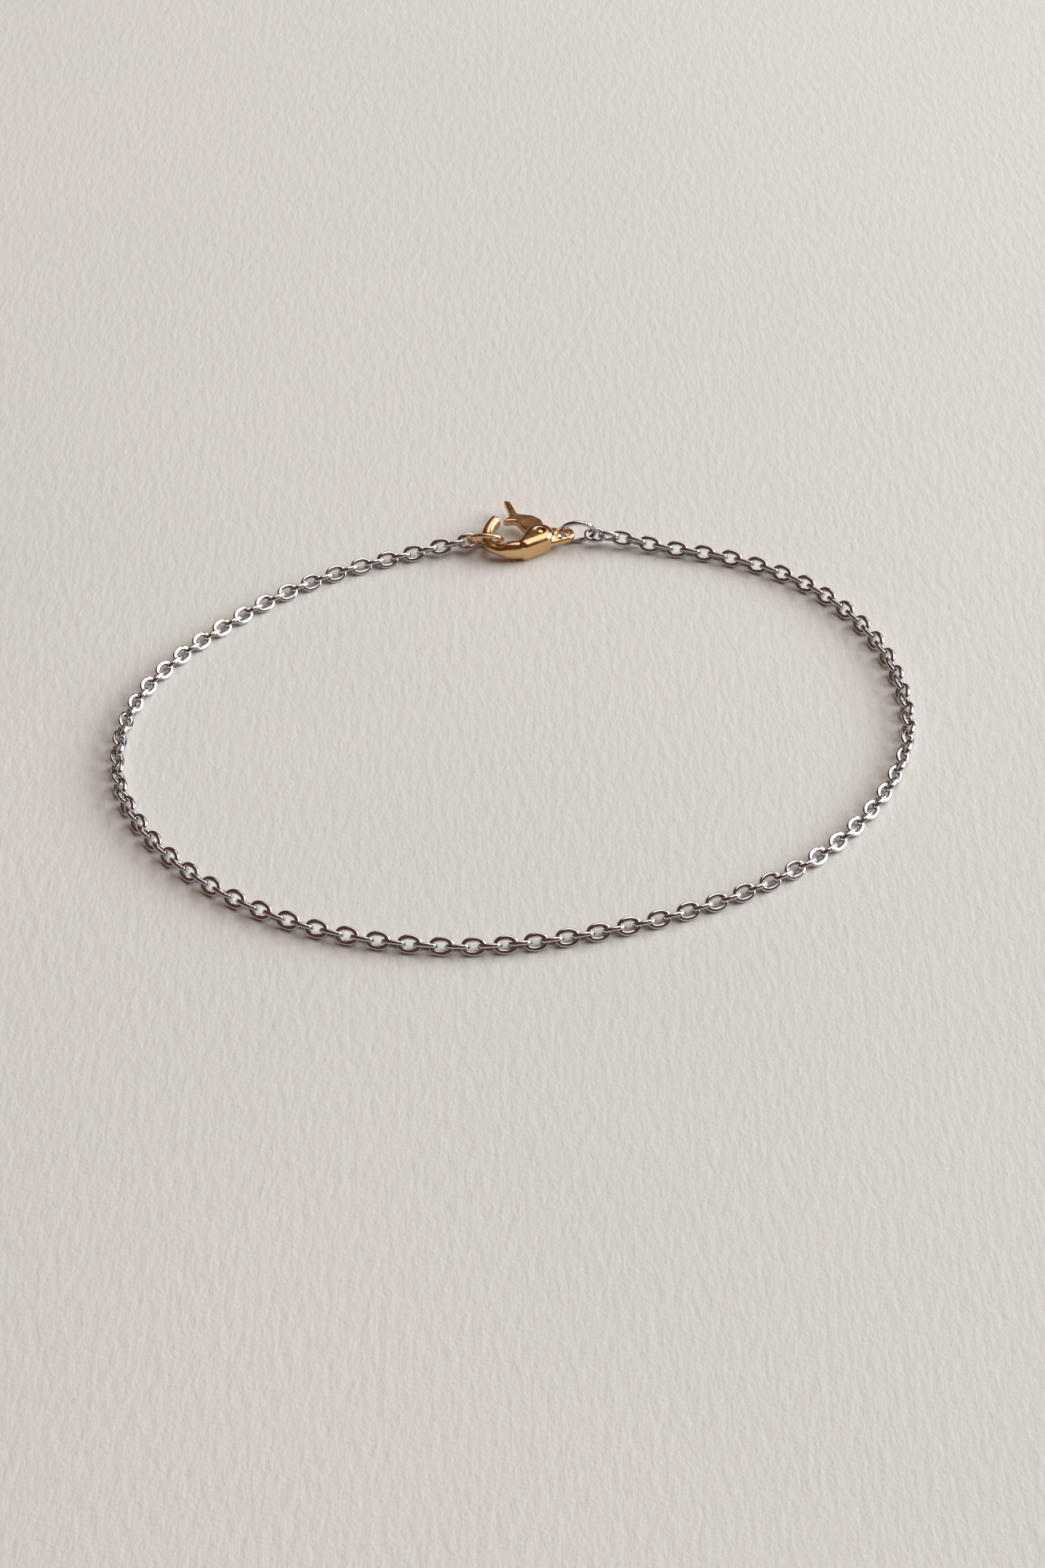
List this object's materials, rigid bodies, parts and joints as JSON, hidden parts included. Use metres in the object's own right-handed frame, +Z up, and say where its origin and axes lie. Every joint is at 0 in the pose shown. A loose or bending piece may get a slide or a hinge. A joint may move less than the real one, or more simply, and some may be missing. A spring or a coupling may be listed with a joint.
{
  "type": "chain bracelet",
  "caption": "Fine oval cable chain bracelet of plain steel, closed by a small gold sprung claw clasp between jump rings, lying in an open loop.",
  "frame": {"origin": "on the surface that the bracelet lies on, under the middle of its outline", "axes": "+Z up from the surface, +X along the longer way across the loop from the hook's side to the tail's side, +Y from the front of the loop to the clasp"},
  "size_m": [0.0652, 0.058, 0.0031],
  "materials": {
    "chain_steel": "polished stainless steel wire",
    "ring_steel": "polished stainless steel wire",
    "ring_gold": "polished gold-coloured wire",
    "clasp_gold": "polished gold-coloured casting",
    "gate_gold": "polished gold-coloured stamping",
    "rivet_gold": "polished gold-coloured pin"
  },
  "bodies": {
    "bracelet": {"chain_hook_half": "chain_steel", "chain_tail_half": "chain_steel", "jump_ring_tail": "ring_steel", "jump_ring_hook": "ring_gold", "clasp_body": "clasp_gold", "clasp_rivet": "rivet_gold"},
    "gate": {"clasp_gate": "gate_gold"}
  },
  "joints": [
    {"name": "gate_turn", "type": "hinge", "parent": "bracelet", "child": "gate", "pos_m": [0.00207, 0.02357, 0.001], "axis": [0, 0, 1], "range_deg": [0, 11], "stiffness_Nm_per_rad": 0.004, "springref_deg": -11.46}
  ]
}
